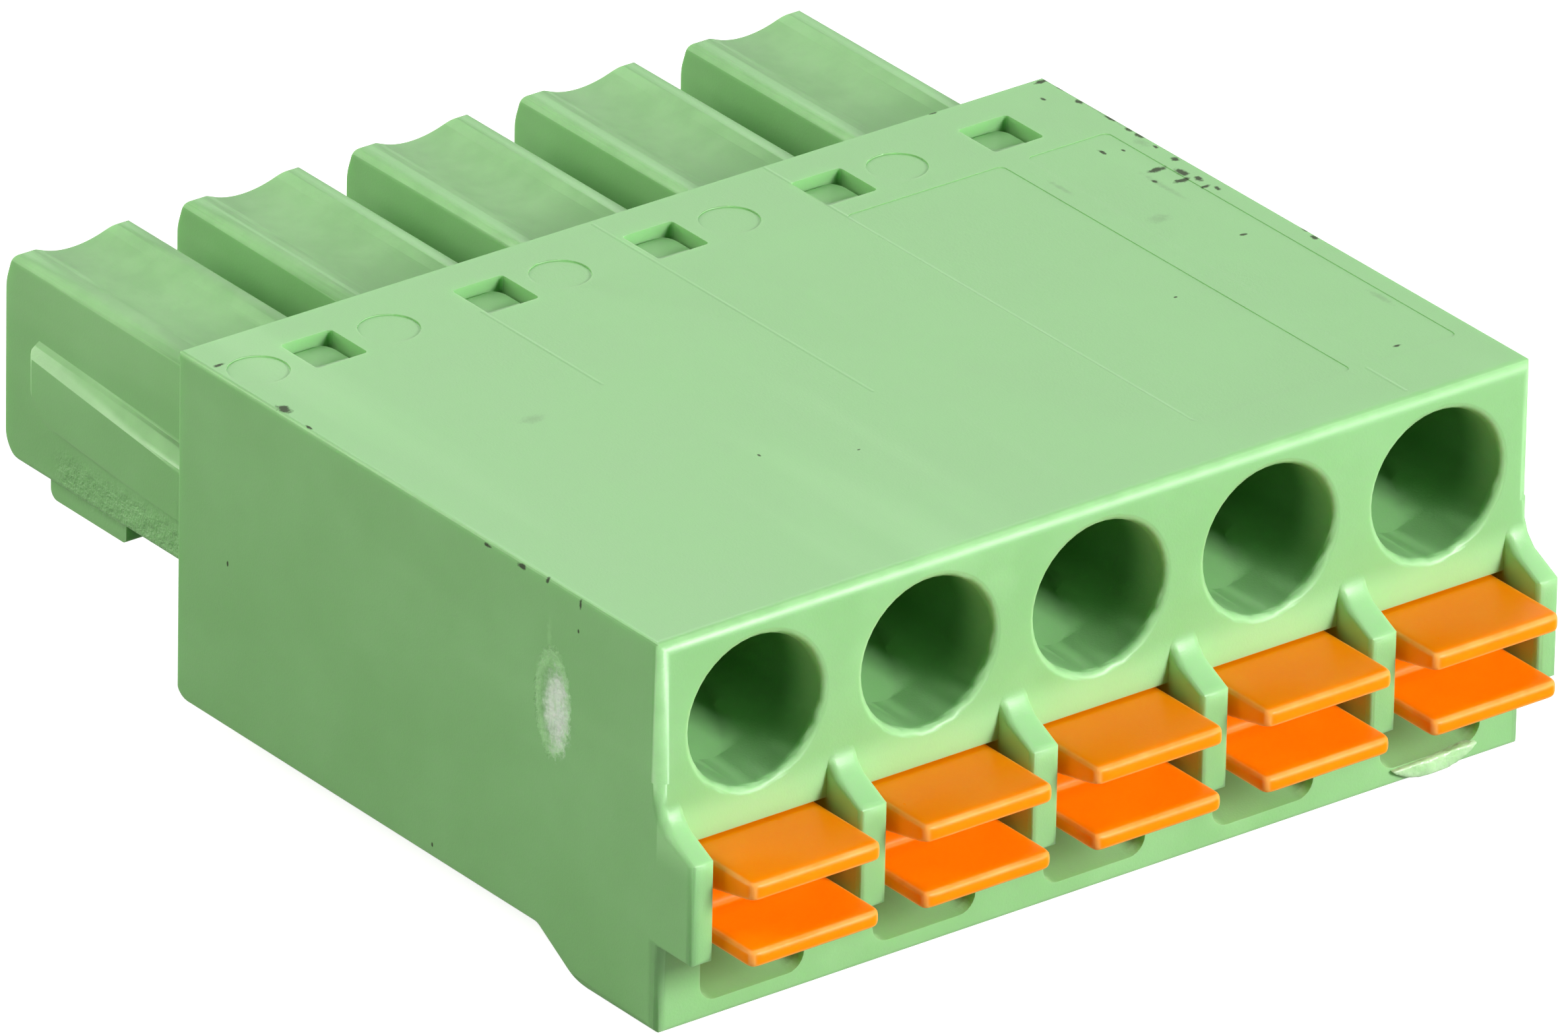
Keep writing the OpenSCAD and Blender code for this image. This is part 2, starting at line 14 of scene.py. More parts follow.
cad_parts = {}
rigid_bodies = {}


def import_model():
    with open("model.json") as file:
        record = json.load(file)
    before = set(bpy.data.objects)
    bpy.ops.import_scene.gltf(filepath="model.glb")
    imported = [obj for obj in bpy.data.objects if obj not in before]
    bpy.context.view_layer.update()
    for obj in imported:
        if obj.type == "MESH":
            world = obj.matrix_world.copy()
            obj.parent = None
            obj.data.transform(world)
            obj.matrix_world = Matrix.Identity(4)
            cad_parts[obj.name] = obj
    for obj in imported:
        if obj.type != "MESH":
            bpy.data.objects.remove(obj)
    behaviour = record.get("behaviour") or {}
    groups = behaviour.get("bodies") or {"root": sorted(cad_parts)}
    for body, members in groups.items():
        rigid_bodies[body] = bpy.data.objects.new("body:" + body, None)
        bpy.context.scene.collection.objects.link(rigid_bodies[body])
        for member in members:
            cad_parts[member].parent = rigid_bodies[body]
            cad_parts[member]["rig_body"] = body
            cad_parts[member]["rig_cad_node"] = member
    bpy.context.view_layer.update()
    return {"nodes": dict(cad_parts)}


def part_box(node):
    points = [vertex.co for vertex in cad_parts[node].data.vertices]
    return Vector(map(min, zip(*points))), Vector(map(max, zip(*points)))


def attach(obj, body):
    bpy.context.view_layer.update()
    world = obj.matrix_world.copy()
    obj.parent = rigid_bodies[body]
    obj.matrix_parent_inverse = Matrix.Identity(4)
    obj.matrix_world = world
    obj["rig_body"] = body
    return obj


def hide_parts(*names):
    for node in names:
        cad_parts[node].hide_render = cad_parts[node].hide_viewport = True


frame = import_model()
MM = 0.001
nodes = frame["nodes"]
levers = sorted(name for name in nodes if name.startswith("release_lever"))

# %% [markdown]
# ## Places on the block
# Marks are easiest to give on the housing itself: x from the middle of the row, y back from the
# wire face, z down from the top face. The frame's origin is the middle of the whole block's
# footprint, so two offsets turn such a place into a place in the frame.

# %% Measures of the housing
housing_low, housing_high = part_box("housing")
EAR_REACH = 1.0 * MM
wire_face = housing_low.y + EAR_REACH
top_face = housing_high.z
PITCH = 3.81 * MM


def place(x, y, z=0.0):
    """A point given in mm from the row's middle, the wire face and the top face."""
    return Vector((x * MM, wire_face + y * MM, top_face + z * MM))


print("wire face at", round(wire_face / MM, 3), "mm, top face at", round(top_face / MM, 3), "mm")

# %% [markdown]
# ## Camera
# A small product is shot with a long lens from some distance, which keeps parallel edges nearly
# parallel. The camera stands to the left of the wire side and looks down on the block.

# %% Camera
CAMERA_DISTANCE = 438.5 * MM
CAMERA_LENS = 561.4  # mm, a very long lens
azimuth, elevation, roll = math.radians(-37.84), math.radians(26.69), math.radians(1.13)
aim = Vector((0.04, -0.185, 3.56)) * MM
back = Vector((math.sin(azimuth) * math.cos(elevation), -math.cos(azimuth) * math.cos(elevation),
               math.sin(elevation)))
bpy.ops.object.camera_add(location=aim + back * CAMERA_DISTANCE)
camera = bpy.context.object
camera.name = "camera"
turn = back.to_track_quat("Z", "Y").to_matrix().to_4x4()
camera.matrix_world = Matrix.Translation(camera.location) @ turn @ Matrix.Rotation(roll, 4, "Z")
camera.data.lens = CAMERA_LENS
camera.data.clip_start = 0.01
bpy.context.scene.camera = camera
bpy.context.scene.view_settings.view_transform = "Standard"
print("camera at", [round(v, 3) for v in camera.location])

# %% [markdown]
# ## Light
# Five softboxes stand round the block. The strongest is in front of the wire face, to the right and
# above. A weaker one lies low beside it and lights the front under the levers. One behind and above
# lights the top, and two on the left, tinted a little, keep the left side a shade darker than the
# front. A very dim even world fills the shadows. The world is white only for the camera and for
# reflections.


# %% Softboxes
def softbox(name, direction, distance, size, power, color=(1.0, 1.0, 1.0)):
    """A square area lamp that looks at the block from a direction."""
    at = aim + Vector(direction).normalized() * distance
    bpy.ops.object.light_add(type="AREA", location=at)
    lamp = bpy.context.object
    lamp.name = name
    lamp.rotation_euler = (at - aim).to_track_quat("Z", "Y").to_euler()
    lamp.data.size = size
    lamp.data.energy = power
    lamp.data.color = color
    print(name, "at", [round(v, 3) for v in at])


softbox("front_softbox", (0.38, -0.88, 0.44), 0.30, 0.08, 0.92)
softbox("low_softbox", (0.46, -0.87, 0.06), 0.30, 0.12, 0.31)
softbox("top_softbox", (0.35, 0.70, 0.80), 0.35, 0.16, 0.36)
softbox("left_softbox", (-1.0, 0.25, 0.80), 0.30, 0.14, 0.32, (0.97, 1.0, 0.88))
softbox("rear_softbox", (-0.75, 0.85, 0.45), 0.30, 0.14, 0.34, (1.0, 1.0, 0.92))

# %% World
FILL_LIGHT = 0.01
world = bpy.data.worlds.new("studio")
bpy.context.scene.world = world
world.use_nodes = True
tree = world.node_tree
fill = tree.nodes["Background"]
fill.inputs["Color"].default_value = (1, 1, 1, 1)
fill.inputs["Strength"].default_value = FILL_LIGHT
white = tree.nodes.new("ShaderNodeBackground")
white.inputs["Strength"].default_value = 1.0
ray = tree.nodes.new("ShaderNodeLightPath")
seen = tree.nodes.new("ShaderNodeMath")
seen.operation = "MAXIMUM"
tree.links.new(ray.outputs["Is Camera Ray"], seen.inputs[0])
tree.links.new(ray.outputs["Is Glossy Ray"], seen.inputs[1])
mix = tree.nodes.new("ShaderNodeMixShader")
tree.links.new(seen.outputs["Value"], mix.inputs["Fac"])
tree.links.new(fill.outputs["Background"], mix.inputs[1])
tree.links.new(white.outputs["Background"], mix.inputs[2])
tree.links.new(mix.outputs["Shader"], tree.nodes["World Output"].inputs["Surface"])
print("world fill", FILL_LIGHT)

# %% [markdown]
# ## Floor
# A white sweep: a plain plane is enough, because no edge of it is in view. It glows for the camera
# alone, so it reads as paper white while the block's own shadow stays on it. For every other ray it
# is a dimmer diffuse sheet, which throws less light up on the block.

# %% Floor
PAPER, PAPER_IN_BOUNCES, PAPER_GLOW = 0.8, 0.40, 0.75
bpy.ops.object.select_all(action="DESELECT")
bpy.ops.mesh.primitive_plane_add(size=3, location=(0, 0, 0))
floor = bpy.context.object
floor.name = "studio_floor"
paper = bpy.data.materials.new("white_paper")
paper.use_nodes = True
tree = paper.node_tree
sheet = tree.nodes["Principled BSDF"]
sheet.inputs["Base Color"].default_value = (PAPER, PAPER, PAPER, 1)
sheet.inputs["Roughness"].default_value = 0.9
dim = tree.nodes.new("ShaderNodeBsdfDiffuse")
dim.inputs["Color"].default_value = (PAPER_IN_BOUNCES, PAPER_IN_BOUNCES, PAPER_IN_BOUNCES, 1)
glow = tree.nodes.new("ShaderNodeEmission")
glow.inputs["Strength"].default_value = PAPER_GLOW
paper_sum = tree.nodes.new("ShaderNodeAddShader")
paper_mix = tree.nodes.new("ShaderNodeMixShader")
ray = tree.nodes.new("ShaderNodeLightPath")
tree.links.new(sheet.outputs["BSDF"], paper_sum.inputs[0])
tree.links.new(glow.outputs["Emission"], paper_sum.inputs[1])
tree.links.new(ray.outputs["Is Camera Ray"], paper_mix.inputs["Fac"])
tree.links.new(dim.outputs["BSDF"], paper_mix.inputs[1])
tree.links.new(paper_sum.outputs["Shader"], paper_mix.inputs[2])
tree.links.new(paper_mix.outputs["Shader"], tree.nodes["Material Output"].inputs["Surface"])
floor.data.materials.append(paper)

# %% [markdown]
# ## Writing node trees briefly
# A finish is a small graph. `Graph` wraps a node tree so that each line of a finish reads like a
# formula: `g.math("MULTIPLY", a, b)` adds a node, links or sets its inputs and returns its output.


# %% Graph helper
class Graph:
    """Adds nodes to a tree and links them; an argument is a socket or a plain value."""

    def __init__(self, tree):
        self.tree = tree

    def node(self, kind, inputs=(), **settings):
        made = self.tree.nodes.new(kind)
        for name, value in settings.items():
            setattr(made, name, value)
        for key, value in dict(inputs).items():
            self.feed(made.inputs[key], value)
        return made

    def feed(self, socket, value):
        if isinstance(value, bpy.types.NodeSocket):
            self.tree.links.new(value, socket)
        else:
            socket.default_value = value

    def math(self, operation, a, b=0.0, c=0.0):
        return self.node("ShaderNodeMath", {0: a, 1: b, 2: c}, operation=operation).outputs[0]

    def vector(self, operation, a, b=(0, 0, 0)):
        made = self.node("ShaderNodeVectorMath", {0: a, 1: b}, operation=operation)
        return made.outputs["Value" if operation == "LENGTH" else "Vector"]

    def mix(self, share, a, b):
        made = self.node("ShaderNodeMix", data_type="RGBA")
        for name, kind, value in (("Factor", "VALUE", share), ("A", "RGBA", a), ("B", "RGBA", b)):
            self.feed(next(s for s in made.inputs if s.name == name and s.type == kind), value)
        return next(s for s in made.outputs if s.type == "RGBA")

    def steps(self, value, low, high, to_low=0.0, to_high=1.0):
        return self.node("ShaderNodeMapRange", {"Value": value, "From Min": low, "From Max": high,
                                                "To Min": to_low, "To Max": to_high},
                         interpolation_type="SMOOTHSTEP").outputs["Result"]

    def noise(self, where, scale, detail=2.0, roughness=0.5):
        return self.node("ShaderNodeTexNoise", {"Vector": where, "Scale": scale, "Detail": detail,
                                                "Roughness": roughness}).outputs["Fac"]


def new_group(name, takes, gives):
    """A shader node group with named inputs and outputs, and its graph."""
    group = bpy.data.node_groups.new(name, "ShaderNodeTree")
    for label, kind, value in takes:
        socket = group.interface.new_socket(label, in_out="INPUT", socket_type=kind)
        if value is not None:
            socket.default_value = value
    for label, kind in gives:
        group.interface.new_socket(label, in_out="OUTPUT", socket_type=kind)
    graph = Graph(group)
    return group, graph, graph.node("NodeGroupInput"), graph.node("NodeGroupOutput")


FLOAT, VECTOR = "NodeSocketFloat", "NodeSocketVector"

# %% [markdown]
# ## Shared effects
# Three effects come back in several finishes. *Moulded skin* is the faint cloudiness and the fine
# spark-eroded grain of a steel mould. *Edge highlight* finds where a surface turns away from the three
# main directions and gives a mask for a painted highlight along the edges, broken into patches by a
# noise. *Spot* is a round mark with a ragged rim at one place, used for dirt specks, smears and the gate
# scar.

# %% Group: moulded skin
skin, g, taken, given = new_group(
    "moulded_skin", [("Place", VECTOR, None), ("Cloud size", FLOAT, 2.5), ("Grain size", FLOAT, 0.05)],
    [("Cloud", FLOAT), ("Grain", FLOAT), ("Streak", FLOAT)])
cloud_scale = g.math("DIVIDE", 1 / MM, taken.outputs["Cloud size"])
grain_scale = g.math("DIVIDE", 1 / MM, taken.outputs["Grain size"])
g.feed(given.inputs["Cloud"], g.noise(taken.outputs["Place"], cloud_scale, 4.0, 0.6))
g.feed(given.inputs["Grain"], g.noise(taken.outputs["Place"], grain_scale, 2.0, 0.6))
drawn = g.vector("MULTIPLY", taken.outputs["Place"], (1.0, 0.12, 1.0))
g.feed(given.inputs["Streak"], g.noise(drawn, cloud_scale, 3.0, 0.5))

# %% Group: painted edge highlight
edge_highlight_group, g, taken, given = new_group(
    "painted_edge_highlight", [("Place", VECTOR, None), ("Facing", VECTOR, None)], [("Edge", FLOAT)])
parts = g.node("ShaderNodeSeparateXYZ", {"Vector": g.vector("ABSOLUTE", taken.outputs["Facing"])}).outputs
squarest = g.math("MAXIMUM", g.math("MAXIMUM", parts["X"], parts["Y"]), parts["Z"])
rub = g.noise(taken.outputs["Place"], 1.6 / MM, 3.0)
# A painted highlight where the surface turns from the main directions, broken up by a noise.
turned = g.steps(squarest, 0.985, 0.86)
g.feed(given.inputs["Edge"], g.math("MULTIPLY", turned, g.steps(rub, 0.25, 0.7, 0.45, 1.0)))

# %% Group: spot
spot_group, g, taken, given = new_group(
    "spot", [("Place", VECTOR, None), ("Centre", VECTOR, None), ("Half size", VECTOR, None),
             ("Ragged", FLOAT, 0.5), ("Soft", FLOAT, 0.3)], [("Mask", FLOAT)])
off = g.vector("SUBTRACT", taken.outputs["Place"], taken.outputs["Centre"])
round_off = g.vector("DIVIDE", off, taken.outputs["Half size"])
ragged = g.math("SUBTRACT", g.noise(taken.outputs["Place"], 9 / MM, 3.0, 0.65), 0.5)
reach = g.math("MULTIPLY_ADD", ragged, g.math("MULTIPLY", taken.outputs["Ragged"], 2.5),
               g.vector("LENGTH", round_off))
g.feed(given.inputs["Mask"], g.steps(reach, 1.0, g.math("SUBTRACT", 1.0, taken.outputs["Soft"])))
print("groups:", [group.name for group in bpy.data.node_groups])

# %% [markdown]
# ## Masks on the housing
# Marks that lie on one face are masks made from the Object coordinates: a soft rectangle for the lines
# where mould inserts meet, and a list of spots for dirt.
# A height made from a mask goes to a Bump node, which bends the light without moving the mesh.


# %% Mask helpers
def use_group(g, group, inputs):
    """Places a shared group in a material."""
    made = g.node("ShaderNodeGroup", node_tree=group)
    for key, value in inputs.items():
        g.feed(made.inputs[key], value)
    return made.outputs


def soft_box(g, axes, low, high, soft):
    """1 inside a rectangle on two axes, falling to 0 over the distance soft."""
    mask = None
    for axis, start, end in zip(axes, low, high):
        rise = g.steps(axis, start - soft, start + soft)
        fall = g.steps(axis, end + soft, end - soft)
        both = g.math("MULTIPLY", rise, fall)
        mask = both if mask is None else g.math("MULTIPLY", mask, both)
    return mask


def strongest(g, masks):
    """The largest of several masks."""
    total = masks[0]
    for mask in masks[1:]:
        total = g.math("MAXIMUM", total, mask)
    return total


def spots(g, where, places, ragged=0.5, soft=0.3):
    """One mask for a list of (centre, half size) marks."""
    return strongest(g, [use_group(g, spot_group, {"Place": where, "Centre": centre, "Half size": half,
                                                   "Ragged": ragged, "Soft": soft})["Mask"]
                         for centre, half in places])


def start_material(name):
    """A material, its graph, its shader, and the Object coordinates and the normal at a point."""
    material = bpy.data.materials.new(name)
    material.use_nodes = True
    g = Graph(material.node_tree)
    at = g.node("ShaderNodeTexCoord").outputs
    return material, g, material.node_tree.nodes["Principled BSDF"], at["Object"], at["Normal"]


# %% [markdown]
# ## Green nylon
# Glass-filled polyamide, dyed through. Light enters it and comes out a millimetre away, so deep holes
# stay green and thin lips glow: that is the subsurface part of the shader, with a radius that is largest
# for green. Two tones are mixed by the cloud mask and streaks turn paler. A pale highlight is painted
# along the edges, and shade is painted inside the housing's bores.

# %% Green tones and base
GREEN = (0.282, 0.576, 0.240, 1)
GREEN_DEEP = (0.262, 0.548, 0.218, 1)
PALE_GREEN_AND_HIGHLIGHT = (0.430, 0.780, 0.370, 1)
FLASH_TONE = (0.52, 0.84, 0.46, 1)
GREEN_PAINTED_SHADE = (0.030, 0.160, 0.015, 1)
DIRT = (0.030, 0.038, 0.018, 1)
SCUFF = (0.80, 0.92, 0.80, 1)


def nylon_base(g, where, facing, shader, bare):
    """The tones that both green mouldings share, with no painted edge highlight where bare is 1."""
    marks = use_group(g, skin, {"Place": where, "Cloud size": 2.4, "Grain size": 0.045})
    edge = use_group(g, edge_highlight_group, {"Place": where, "Facing": facing})["Edge"]
    edge = g.math("MULTIPLY", edge, g.math("SUBTRACT", 1.0, bare))
    color = g.mix(g.steps(marks["Cloud"], 0.3, 0.75), GREEN_DEEP, GREEN)
    color = g.mix(g.steps(marks["Streak"], 0.55, 0.8, 0.0, 0.25), color, PALE_GREEN_AND_HIGHLIGHT)
    # Painted highlight: the edges turn pale green.
    color = g.mix(g.math("MULTIPLY", edge, 0.6), color, PALE_GREEN_AND_HIGHLIGHT)
    shader.inputs["Subsurface Weight"].default_value = 0.35
    shader.inputs["Subsurface Radius"].default_value = (0.45, 1.0, 0.35)
    shader.inputs["Subsurface Scale"].default_value = 0.5 * MM
    shader.inputs["IOR"].default_value = 1.5
    return color, marks


def finish_nylon(g, shader, color, roughness, height, depth):
    """Joins the graph's ends to the shader, with the height in metres per unit."""
    g.feed(shader.inputs["Base Color"], color)
    g.feed(shader.inputs["Roughness"], roughness)
    bump = g.node("ShaderNodeBump", {"Height": height, "Distance": depth, "Strength": 1.0})
    g.feed(shader.inputs["Normal"], bump.outputs["Normal"])


# %% Housing finish
housing_nylon, g, shader, where, facing = start_material("housing_nylon")
axes = g.node("ShaderNodeSeparateXYZ", {"Vector": where}).outputs
across_row, along_depth, upward = axes["X"], axes["Y"], axes["Z"]
in_chamber = g.math("MULTIPLY", g.steps(along_depth, wire_face + 0.16 * MM, wire_face + 0.22 * MM),
                    g.steps(upward, top_face - 0.25 * MM, top_face - 0.32 * MM))
in_chamber = g.math("MULTIPLY", in_chamber, g.steps(g.math("ABSOLUTE", across_row), 9.6 * MM, 9.5 * MM))
on_ears = g.math("MULTIPLY", g.steps(along_depth, wire_face - 0.03 * MM, wire_face - 0.12 * MM), 0.75)
color, marks = nylon_base(g, where, facing, shader, g.math("MAXIMUM", in_chamber, on_ears))
# Painted shade: deeper than about a millimetre inside the housing, the colour turns a little towards dark
# green everywhere, and strongly on the upper wall right of each pole's axis.
nearest_pole = g.math("ROUND", g.math("DIVIDE", across_row, PITCH))
off_axis = g.math("SUBTRACT", across_row, g.math("MULTIPLY", nearest_pole, PITCH))
far_wall = g.math("MULTIPLY", g.steps(off_axis, 0.7 * MM, 1.2 * MM),
                  g.steps(upward, place(0, 0, -3.4).z, place(0, 0, -2.2).z))
entry_depth = g.steps(along_depth, wire_face + 0.15 * MM, wire_face + 1.2 * MM)
shade = g.math("MULTIPLY", g.math("MULTIPLY", in_chamber, entry_depth),
               g.math("MULTIPLY_ADD", far_wall, 0.80, 0.12))
color = g.mix(shade, color, GREEN_PAINTED_SHADE)
on_top = g.steps(upward, top_face - 0.10 * MM, top_face - 0.02 * MM)
on_front = g.steps(along_depth, wire_face + 0.06 * MM, wire_face + 0.01 * MM)


def top_rectangle(x, y, soft=0.035):
    """A soft rectangle on the top face, from x and y ranges in mm."""
    low, high = place(x[0], y[0]), place(x[1], y[1])
    return soft_box(g, (across_row, along_depth), low.xy, high.xy, soft * MM)


INSERT_LINES = [((3.27, 3.31), (1.6, 14.2)), ((7.08, 7.12), (0.35, 1.5)),
                ((-0.67, -0.63), (5.8, 14.1)), ((-4.42, -4.38), (8.8, 12.4))]
insert_lines = strongest(g, [top_rectangle(x, y) for x, y in INSERT_LINES])
height = g.math("MULTIPLY", g.math("MULTIPLY", insert_lines, -0.010), on_top)
height = g.math("MULTIPLY_ADD", g.math("SUBTRACT", marks["Grain"], 0.5), 0.0035, height)
# Painted light: a pale band across the front face just above the levers.
painted_light_band = soft_box(g, (upward,), [place(0, 0, -4.05).z], [place(0, 0, -3.35).z], 0.28 * MM)
painted_light_band = g.math("MULTIPLY", painted_light_band, on_front)
color = g.mix(g.math("MULTIPLY", painted_light_band, 0.55), color, PALE_GREEN_AND_HIGHLIGHT)

# %% Scuffs and dirt on the housing
SMEARS = [(place(8.73, 9.4), (0.10, 0.95)), (place(9.5, 11.05), (0.16, 0.30)),
          (place(9.66, 12.2), (0.05, 0.9)),
          (place(7.85, 8.4), (0.35, 0.22)), (place(9.1, 3.6), (0.10, 0.5)),
          (place(7.15, 10.4), (0.08, 0.45)),
          (place(-6.24, 8.41), (0.34, 0.20))]
SPECKS = [(place(9.60, 14.10), (0.20, 0.08, 0.2)), (place(9.70, 13.68), (0.07, 0.14, 0.1)),
          (place(9.62, 13.03), (0.08, 0.13, 0.1)), (place(9.16, 13.50), (0.05, 0.09, 0.1)),
          (place(9.66, 12.15), (0.06, 0.20, 0.1)), (place(9.64, 11.60), (0.07, 0.14, 0.1)),
          (place(9.66, 11.30), (0.09, 0.15, 0.1)), (place(9.60, 10.75), (0.05, 0.09, 0.1)),
          (place(9.58, 10.15), (0.09, 0.12, 0.1)), (place(8.69, 11.17), (0.05, 0.14, 0.1)),
          (place(9.05, 11.00), (0.04, 0.08, 0.1)), (place(9.06, 10.02), (0.24, 0.11, 0.1)),
          (place(9.34, 9.66), (0.11, 0.20, 0.1)), (place(9.14, 9.40), (0.20, 0.10, 0.1)),
          (place(9.42, 9.26), (0.09, 0.13, 0.1)), (place(9.32, 8.94), (0.13, 0.06, 0.1)),
          (place(9.46, 8.76), (0.07, 0.10, 0.1)), (place(8.72, 9.66), (0.05, 0.09, 0.1)),
          (place(9.70, 6.52), (0.07, 0.13, 0.1)), (place(9.63, 6.16), (0.07, 0.10, 0.1)),
          (place(8.68, 7.02), (0.09, 0.05, 0.1)), (place(8.13, 1.88), (0.12, 0.05, 0.1)),
          (place(6.10, 5.71), (0.05, 0.03, 0.1)), (place(7.17, 14.20), (0.12, 0.05, 0.1)),
          (place(-2.26, 4.12), (0.05, 0.03, 0.1)), (place(-3.84, 4.96), (0.03, 0.06, 0.1)),
          (place(-9.50, 13.36), (0.14, 0.06, 0.1)), (place(-9.60, 11.28), (0.13, 0.24, 0.1)),
          (place(-9.66, 10.44), (0.04, 0.12, 0.1)), (place(-9.75, 5.05, -0.09), (0.1, 0.13, 0.04)),
          (place(-9.75, 4.03, -0.09), (0.1, 0.16, 0.06)), (place(-9.75, 3.30, -0.05), (0.1, 0.06, 0.09)),
          (place(-9.75, 2.33, -0.12), (0.1, 0.04, 0.12)), (place(-9.75, 2.38, -0.68), (0.1, 0.03, 0.06)),
          (place(-9.75, 12.72, -3.62), (0.1, 0.03, 0.08)), (place(-9.75, 6.55, -6.64), (0.1, 0.03, 0.05))]
smears = spots(g, where, [(at, [half[0] * MM, half[1] * MM, 0.1 * MM]) for at, half in SMEARS],
               ragged=0.5, soft=0.9)
color = g.mix(g.math("MULTIPLY", smears, 0.22), color, DIRT)
dirt = spots(g, where, [(at, [size * MM for size in half]) for at, half in SPECKS],
             ragged=0.55, soft=0.55)
color = g.mix(g.math("MULTIPLY", dirt, 0.93), color, DIRT)
print(len(SPECKS), "specks of dirt,", len(SMEARS), "smears")

# %% Gate scar
scar_at, scar_half = place(-9.75, 3.10, -2.36), Vector((0.3, 0.56, 1.14)) * MM
scar = spots(g, where, [(scar_at, scar_half)], ragged=0.14, soft=0.16)
inner = spots(g, where, [(scar_at, scar_half * 0.80)], 0.16, 0.35)
ring = g.math("MULTIPLY", scar, g.math("SUBTRACT", 1.0, inner))
core_at, core_half = place(-9.75, 2.98, -2.50), Vector((0.3, 0.46, 1.0)) * MM
core = spots(g, where, [(core_at, core_half)], ragged=0.35, soft=0.6)
chalk = g.noise(g.vector("MULTIPLY", where, (1, 1.6, 0.5)), 4 / MM, 3.0, 0.6)
color = g.mix(g.math("MULTIPLY", ring, 0.75), color, PALE_GREEN_AND_HIGHLIGHT)
color = g.mix(g.math("MULTIPLY", core, g.steps(chalk, 0.25, 0.55, 0.55, 1.0)), color, SCUFF)
upper_streak = spots(g, where, [(place(-9.75, 3.22, -1.1), Vector((0.3, 0.10, 0.5)) * MM)],
                     ragged=0.5, soft=0.9)
color = g.mix(g.math("MULTIPLY", upper_streak, 0.35), color, PALE_GREEN_AND_HIGHLIGHT)
scar_relief = g.math("MULTIPLY_ADD", g.noise(where, 3 / MM, 3.0), 0.09, -0.06)
height = g.math("MULTIPLY_ADD", scar, scar_relief, height)
roughness = g.steps(marks["Cloud"], 0.2, 0.8, 0.36, 0.48)
roughness = g.math("MULTIPLY_ADD", scar, -0.15, roughness)
roughness = g.math("MULTIPLY_ADD", dirt, 0.4, roughness)
finish_nylon(g, shader, color, roughness, height, MM)
print("housing finish has", len(housing_nylon.node_tree.nodes), "nodes")

# %% Nose finish
nose_nylon, g, shader, where, facing = start_material("nose_nylon")
side = g.node("ShaderNodeSeparateXYZ", {"Vector": where}).outputs
in_housing = g.steps(side["Y"], place(0, 14.2).y, place(0, 14.1).y)
color, marks = nylon_base(g, where, facing, shader, in_housing)
pits = g.noise(where, 2.2 / MM, 4.0, 0.7)
low_band = soft_box(g, (side["Y"], side["Z"]), place(0, 14.3, -5.1).yz, place(0, 19.0, -4.2).yz,
                    0.25 * MM)
height = g.math("MULTIPLY", g.math("MULTIPLY", g.math("SUBTRACT", pits, 0.5), 0.14), low_band)
height = g.math("MULTIPLY_ADD", g.math("SUBTRACT", marks["Grain"], 0.5), 0.0035, height)
finish_nylon(g, shader, color, g.steps(marks["Cloud"], 0.2, 0.8, 0.34, 0.46), height, MM)

# %% Flash finish
flash_nylon, g, shader, where, facing = start_material("flash_nylon")
color, marks = nylon_base(g, where, facing, shader, 0.0)
thin = g.steps(g.noise(where, 1.4 / MM, 3.0), 0.3, 0.6, 0.35, 0.9)
height = g.math("MULTIPLY", g.math("SUBTRACT", g.noise(where, 5 / MM, 3.0), 0.5), 0.05)
color = g.mix(thin, color, FLASH_TONE)
finish_nylon(g, shader, color, g.steps(marks["Cloud"], 0.2, 0.8, 0.22, 0.34), height, MM)

# %% [markdown]
# ## Orange levers
# The levers are a glossier unfilled nylon. A pale highlight is painted along their rims, and the slot
# between the blades turns deep orange because light bounces from blade to blade. The signal pigment is
# very bright, and a faint glow of the material itself, painted light, stands in for that brightness.

# %% Lever finish
ORANGE = (1.0, 0.262, 0.001, 1)
ORANGE_DEEP = (1.0, 0.238, 0.0005, 1)
ORANGE_PAINTED_HIGHLIGHT = (1.0, 0.45, 0.12, 1)
ORANGE_PAINTED_GLOW, PAINTED_GLOW_STRENGTH = (1.0, 0.22, 0.0, 1), 0.12
lever_nylon, g, shader, where, facing = start_material("lever_nylon")
marks = use_group(g, skin, {"Place": where, "Cloud size": 1.6, "Grain size": 0.04})
edge = use_group(g, edge_highlight_group, {"Place": where, "Facing": facing})["Edge"]
color = g.mix(g.steps(marks["Cloud"], 0.2, 0.8), ORANGE_DEEP, ORANGE)
# Painted highlight: the rims turn pale orange.
color = g.mix(g.math("MULTIPLY", edge, 0.85), color, ORANGE_PAINTED_HIGHLIGHT)
g.feed(shader.inputs["Base Color"], color)
g.feed(shader.inputs["Roughness"], g.steps(marks["Cloud"], 0.2, 0.8, 0.27, 0.33))
shader.inputs["Subsurface Weight"].default_value = 0.45
shader.inputs["Subsurface Radius"].default_value = (1.0, 0.35, 0.05)
shader.inputs["Subsurface Scale"].default_value = 0.8 * MM
shader.inputs["Specular IOR Level"].default_value = 0.1
# Painted light: the levers glow faintly orange.
shader.inputs["Emission Color"].default_value = ORANGE_PAINTED_GLOW
shader.inputs["Emission Strength"].default_value = PAINTED_GLOW_STRENGTH
bump = g.node("ShaderNodeBump", {"Height": marks["Grain"], "Distance": 0.003 * MM, "Strength": 0.8})
g.feed(shader.inputs["Normal"], bump.outputs["Normal"])

# %% [markdown]
# ## Metal inside
# The springs are cold-rolled strip: rolling leaves fine lines along the strip. The contacts are
# tin-plated, softer and duller, with faint cloudy plating.


